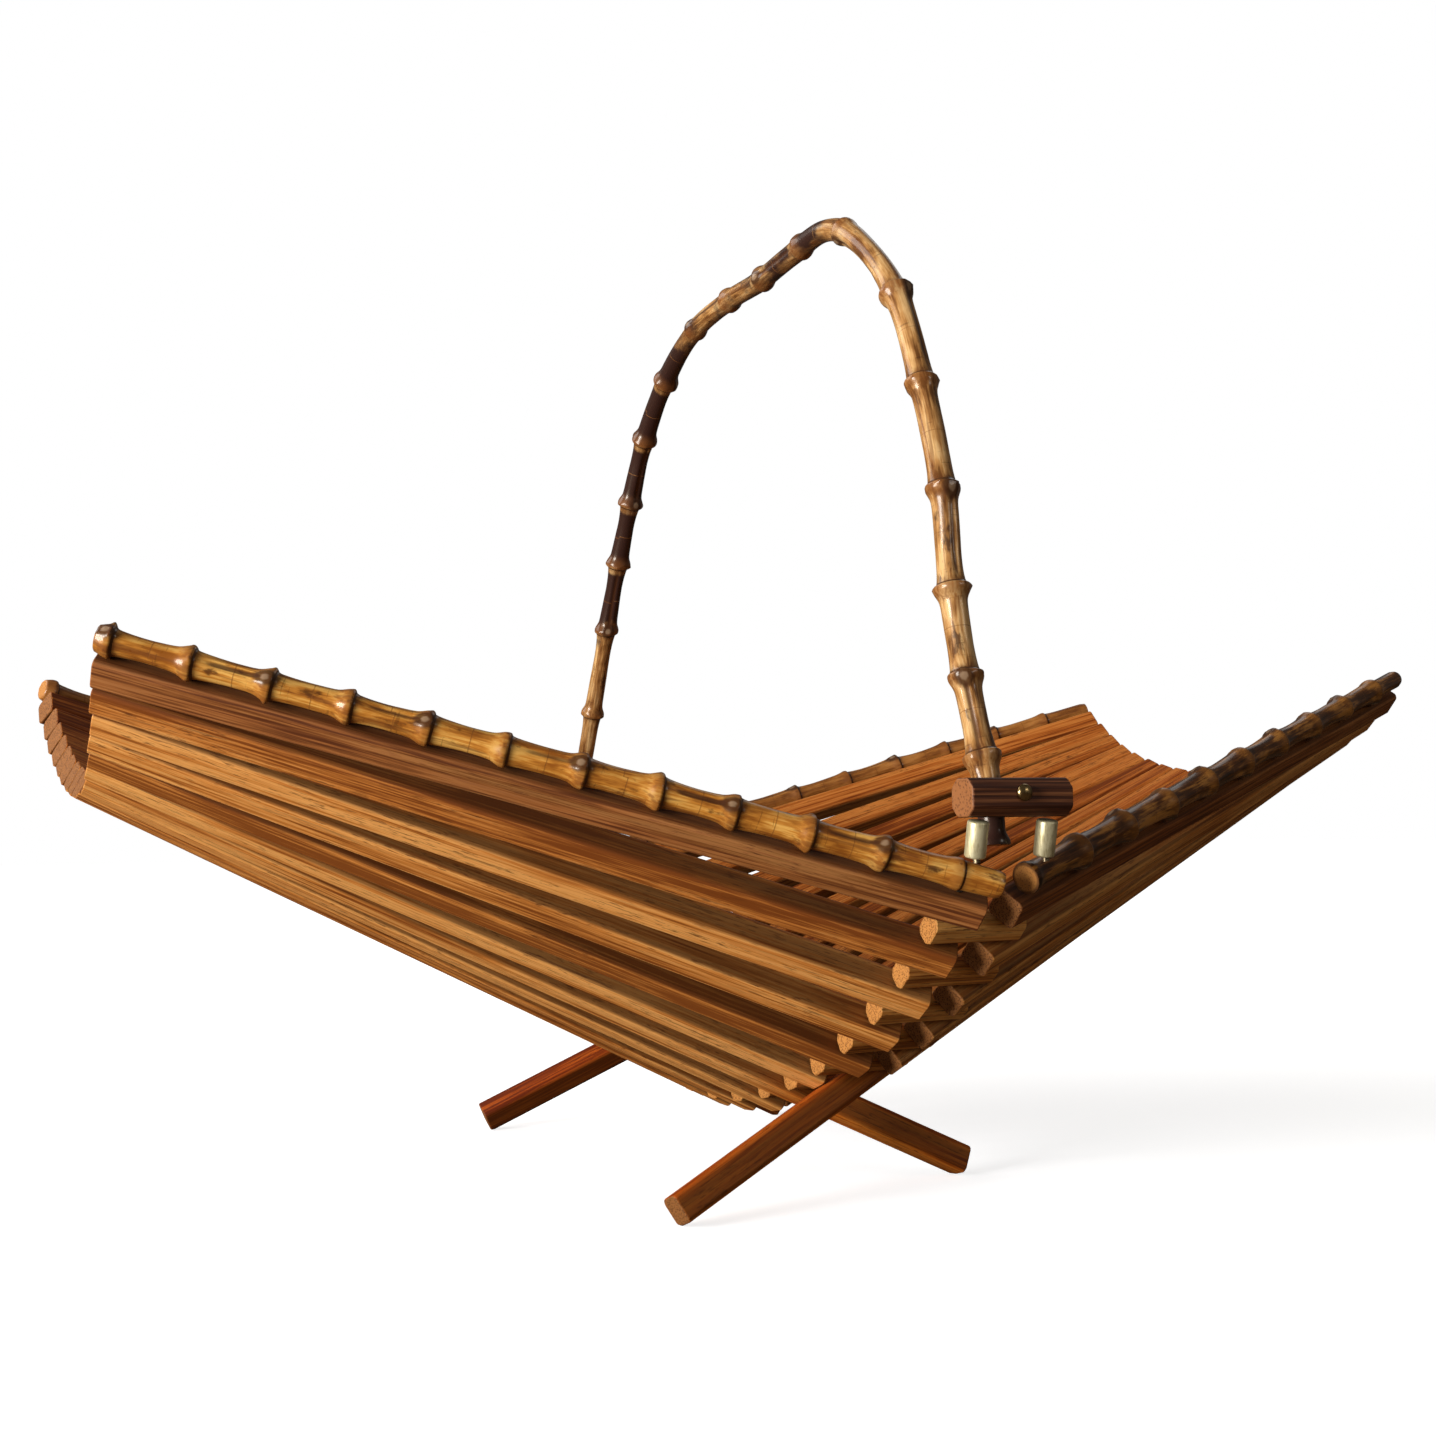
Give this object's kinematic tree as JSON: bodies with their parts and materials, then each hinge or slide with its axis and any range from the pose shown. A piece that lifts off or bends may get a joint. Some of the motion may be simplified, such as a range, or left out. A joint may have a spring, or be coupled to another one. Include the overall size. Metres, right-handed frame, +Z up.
{
  "type": "collapsible slatted basket",
  "caption": "Open boat-shaped basket of wooden slats strung on two bent wires, on crossed legs, with cane rails and an arched cane handle; its wings fold up and its handle swings.",
  "frame": {"origin": "on the floor under the middle of the basket", "axes": "+X along the basket towards the right wing, +Y from the near rim to the far rim, +Z up"},
  "size_m": [0.5608, 0.4376, 0.3868],
  "materials": {
    "slat_wood": "reddish brown bamboo slats, satin",
    "middle_slat_wood": "caramel bamboo slats, satin",
    "rail_cane": "honey brown root cane, glossy",
    "handle_cane": "scorched brown root cane, glossy",
    "block_wood": "dark red-brown stained bamboo",
    "tube_brass": "pale satin brass",
    "nail_brass": "polished aged brass"
  },
  "bodies": {
    "middle_1": {"middle_slats_1": "middle_slat_wood"},
    "left_1": {"left_slat_01": "slat_wood", "left_slat_02": "slat_wood", "left_slat_03": "slat_wood", "rail_near_left": "rail_cane"},
    "right_1": {"right_slat_01": "slat_wood", "right_slat_02": "slat_wood", "right_slat_03": "slat_wood", "rail_near_right": "rail_cane"},
    "middle_2": {"middle_slats_2": "middle_slat_wood"},
    "left_2": {"left_slat_04": "slat_wood", "left_slat_05": "slat_wood", "left_slat_06": "slat_wood"},
    "right_2": {"right_slat_04": "slat_wood", "right_slat_05": "slat_wood", "right_leg_slat_06": "slat_wood"},
    "middle_3": {"middle_slats_3": "middle_slat_wood"},
    "left_3": {"left_leg_slat_07": "slat_wood", "left_slat_08": "slat_wood"},
    "right_3": {"right_slat_07": "slat_wood", "right_slat_08": "slat_wood"},
    "middle_4": {"middle_slats_4": "middle_slat_wood"},
    "left_4": {"left_slat_09": "slat_wood", "left_slat_10": "slat_wood", "left_slat_11": "slat_wood"},
    "right_4": {"right_slat_09": "slat_wood", "right_slat_10": "slat_wood", "right_slat_11": "slat_wood"},
    "middle_5": {"middle_slats_5": "middle_slat_wood"},
    "left_5": {"left_slat_12": "slat_wood", "left_leg_slat_13": "slat_wood"},
    "right_5": {"right_slat_12": "slat_wood", "right_slat_13": "slat_wood"},
    "middle_6": {"middle_slats_6": "middle_slat_wood"},
    "left_6": {"left_slat_14": "slat_wood", "left_slat_15": "slat_wood", "left_slat_16": "slat_wood"},
    "right_6": {"right_leg_slat_14": "slat_wood", "right_slat_15": "slat_wood", "right_slat_16": "slat_wood"},
    "middle_7": {"middle_slats_7": "middle_slat_wood"},
    "left_7": {"left_slat_17": "slat_wood", "left_slat_18": "slat_wood", "left_slat_19": "slat_wood", "rail_far_left": "rail_cane"},
    "right_7": {"right_slat_17": "slat_wood", "right_slat_18": "slat_wood", "right_slat_19": "slat_wood", "rail_far_right": "rail_cane"},
    "foot_near": {"foot_block_near": "block_wood", "brass_tube_near_left": "tube_brass", "brass_tube_near_right": "tube_brass"},
    "foot_far": {"foot_block_far": "block_wood", "brass_tube_far_left": "tube_brass", "brass_tube_far_right": "tube_brass", "nail_far": "nail_brass"},
    "nail_near": {"nail_near": "nail_brass"},
    "handle_near": {"handle_near_half": "handle_cane"},
    "handle_far": {"handle_far_half": "handle_cane"}
  },
  "joints": [
    {"name": "curl_3", "type": "hinge", "parent": "middle_4", "child": "middle_3", "pos_m": [0, -0.03023, 0.03275], "axis": [1, 0, 0], "range_deg": [0, 8.7]},
    {"name": "curl_2", "type": "hinge", "parent": "middle_3", "child": "middle_2", "pos_m": [0, -0.07759, 0.04277], "axis": [1, 0, 0], "range_deg": [0, 8.7]},
    {"name": "curl_1", "type": "hinge", "parent": "middle_2", "child": "middle_1", "pos_m": [0, -0.14317, 0.07366], "axis": [1, 0, 0], "range_deg": [0, 10.44]},
    {"name": "curl_5", "type": "hinge", "parent": "middle_4", "child": "middle_5", "pos_m": [0, 0.03023, 0.03275], "axis": [-1, 0, 0], "range_deg": [0, 8.7]},
    {"name": "curl_6", "type": "hinge", "parent": "middle_5", "child": "middle_6", "pos_m": [0, 0.07759, 0.04277], "axis": [-1, 0, 0], "range_deg": [0, 8.7]},
    {"name": "curl_7", "type": "hinge", "parent": "middle_6", "child": "middle_7", "pos_m": [0, 0.14317, 0.07366], "axis": [-1, 0, 0], "range_deg": [0, 10.44]},
    {"name": "fold_left_1", "type": "hinge", "parent": "middle_1", "child": "left_1", "pos_m": [-0.01375, -0.17626, 0.10006], "axis": [0, 0.7376, -0.6752], "range_deg": [0, 25.02]},
    {"name": "fold_right_1", "type": "hinge", "parent": "middle_1", "child": "right_1", "pos_m": [0.01375, -0.17626, 0.10006], "axis": [0, -0.7376, 0.6752], "range_deg": [0, 25.02]},
    {"name": "fold_left_2", "type": "hinge", "parent": "middle_2", "child": "left_2", "pos_m": [-0.01375, -0.11666, 0.05908], "axis": [0, 0.8946, -0.4469], "range_deg": [0, 25.02]},
    {"name": "fold_right_2", "type": "hinge", "parent": "middle_2", "child": "right_2", "pos_m": [0.01375, -0.11666, 0.05908], "axis": [0, -0.8946, 0.4469], "range_deg": [0, 25.02]},
    {"name": "fold_left_3", "type": "hinge", "parent": "middle_3", "child": "left_3", "pos_m": [-0.01375, -0.06003, 0.03812], "axis": [0, 0.9733, -0.2296], "range_deg": [0, 25.02]},
    {"name": "fold_right_3", "type": "hinge", "parent": "middle_3", "child": "right_3", "pos_m": [0.01375, -0.06003, 0.03812], "axis": [0, -0.9733, 0.2296], "range_deg": [0, 25.02]},
    {"name": "fold_left_4", "type": "hinge", "parent": "middle_4", "child": "left_4", "pos_m": [-0.01375, 0, 0.03156], "axis": [0, 1, 0], "range_deg": [0, 25]},
    {"name": "fold_right_4", "type": "hinge", "parent": "middle_4", "child": "right_4", "pos_m": [0.01375, 0, 0.03156], "axis": [0, -1, 0], "range_deg": [0, 25.02]},
    {"name": "fold_left_5", "type": "hinge", "parent": "middle_5", "child": "left_5", "pos_m": [-0.01375, 0.06003, 0.03812], "axis": [0, 0.9733, 0.2296], "range_deg": [0, 25.02]},
    {"name": "fold_right_5", "type": "hinge", "parent": "middle_5", "child": "right_5", "pos_m": [0.01375, 0.06003, 0.03812], "axis": [0, -0.9733, -0.2296], "range_deg": [0, 25.02]},
    {"name": "fold_left_6", "type": "hinge", "parent": "middle_6", "child": "left_6", "pos_m": [-0.01375, 0.11666, 0.05908], "axis": [0, 0.8946, 0.4469], "range_deg": [0, 25.02]},
    {"name": "fold_right_6", "type": "hinge", "parent": "middle_6", "child": "right_6", "pos_m": [0.01375, 0.11666, 0.05908], "axis": [0, -0.8946, -0.4469], "range_deg": [0, 25.02]},
    {"name": "fold_left_7", "type": "hinge", "parent": "middle_7", "child": "left_7", "pos_m": [-0.01375, 0.17626, 0.10006], "axis": [0, 0.7376, 0.6752], "range_deg": [0, 25.02]},
    {"name": "fold_right_7", "type": "hinge", "parent": "middle_7", "child": "right_7", "pos_m": [0.01375, 0.17626, 0.10006], "axis": [0, -0.7376, -0.6752], "range_deg": [0, 25.02]},
    {"name": "foot_near", "type": "hinge", "parent": "middle_1", "child": "foot_near", "pos_m": [0, -0.202, 0.12593], "axis": [1, 0, 0], "range_deg": [-27.83, 0]},
    {"name": "foot_far", "type": "hinge", "parent": "middle_7", "child": "foot_far", "pos_m": [0, 0.202, 0.12593], "axis": [-1, 0, 0], "range_deg": [-27.83, 0]},
    {"name": "handle_swing", "type": "hinge", "parent": "foot_near", "child": "nail_near", "pos_m": [0, -0.19768, 0.15327], "axis": [0, 1, 0], "range_deg": [-30, 30]},
    {"name": "handle_lean", "type": "hinge", "parent": "nail_near", "child": "handle_near", "pos_m": [0, -0.19768, 0.14867], "axis": [1, 0, 0], "range_deg": [-6.41, 0]},
    {"name": "handle_flex", "type": "hinge", "parent": "handle_near", "child": "handle_far", "pos_m": [0, 0, 0.38419], "axis": [1, 0, 0], "range_deg": [0, 12.82]}
  ],
  "couplings": [
    {"joint": "curl_3", "follows": "fold_left_4", "ratio": 0.34748},
    {"joint": "curl_2", "follows": "fold_left_4", "ratio": 0.34748},
    {"joint": "curl_1", "follows": "fold_left_4", "ratio": 0.41697},
    {"joint": "curl_5", "follows": "fold_left_4", "ratio": 0.34748},
    {"joint": "curl_6", "follows": "fold_left_4", "ratio": 0.34748},
    {"joint": "curl_7", "follows": "fold_left_4", "ratio": 0.41697},
    {"joint": "fold_left_1", "follows": "fold_left_4", "ratio": 1},
    {"joint": "fold_right_1", "follows": "fold_left_4", "ratio": 1},
    {"joint": "fold_left_2", "follows": "fold_left_4", "ratio": 1},
    {"joint": "fold_right_2", "follows": "fold_left_4", "ratio": 1},
    {"joint": "fold_left_3", "follows": "fold_left_4", "ratio": 1},
    {"joint": "fold_right_3", "follows": "fold_left_4", "ratio": 1},
    {"joint": "fold_right_4", "follows": "fold_left_4", "ratio": 1},
    {"joint": "fold_left_5", "follows": "fold_left_4", "ratio": 1},
    {"joint": "fold_right_5", "follows": "fold_left_4", "ratio": 1},
    {"joint": "fold_left_6", "follows": "fold_left_4", "ratio": 1},
    {"joint": "fold_right_6", "follows": "fold_left_4", "ratio": 1},
    {"joint": "fold_left_7", "follows": "fold_left_4", "ratio": 1},
    {"joint": "fold_right_7", "follows": "fold_left_4", "ratio": 1},
    {"joint": "foot_near", "follows": "fold_left_4", "ratio": -1.1119},
    {"joint": "foot_far", "follows": "fold_left_4", "ratio": -1.1119},
    {"joint": "handle_lean", "follows": "fold_left_4", "ratio": -0.25624},
    {"joint": "handle_flex", "follows": "fold_left_4", "ratio": 0.51248}
  ]
}
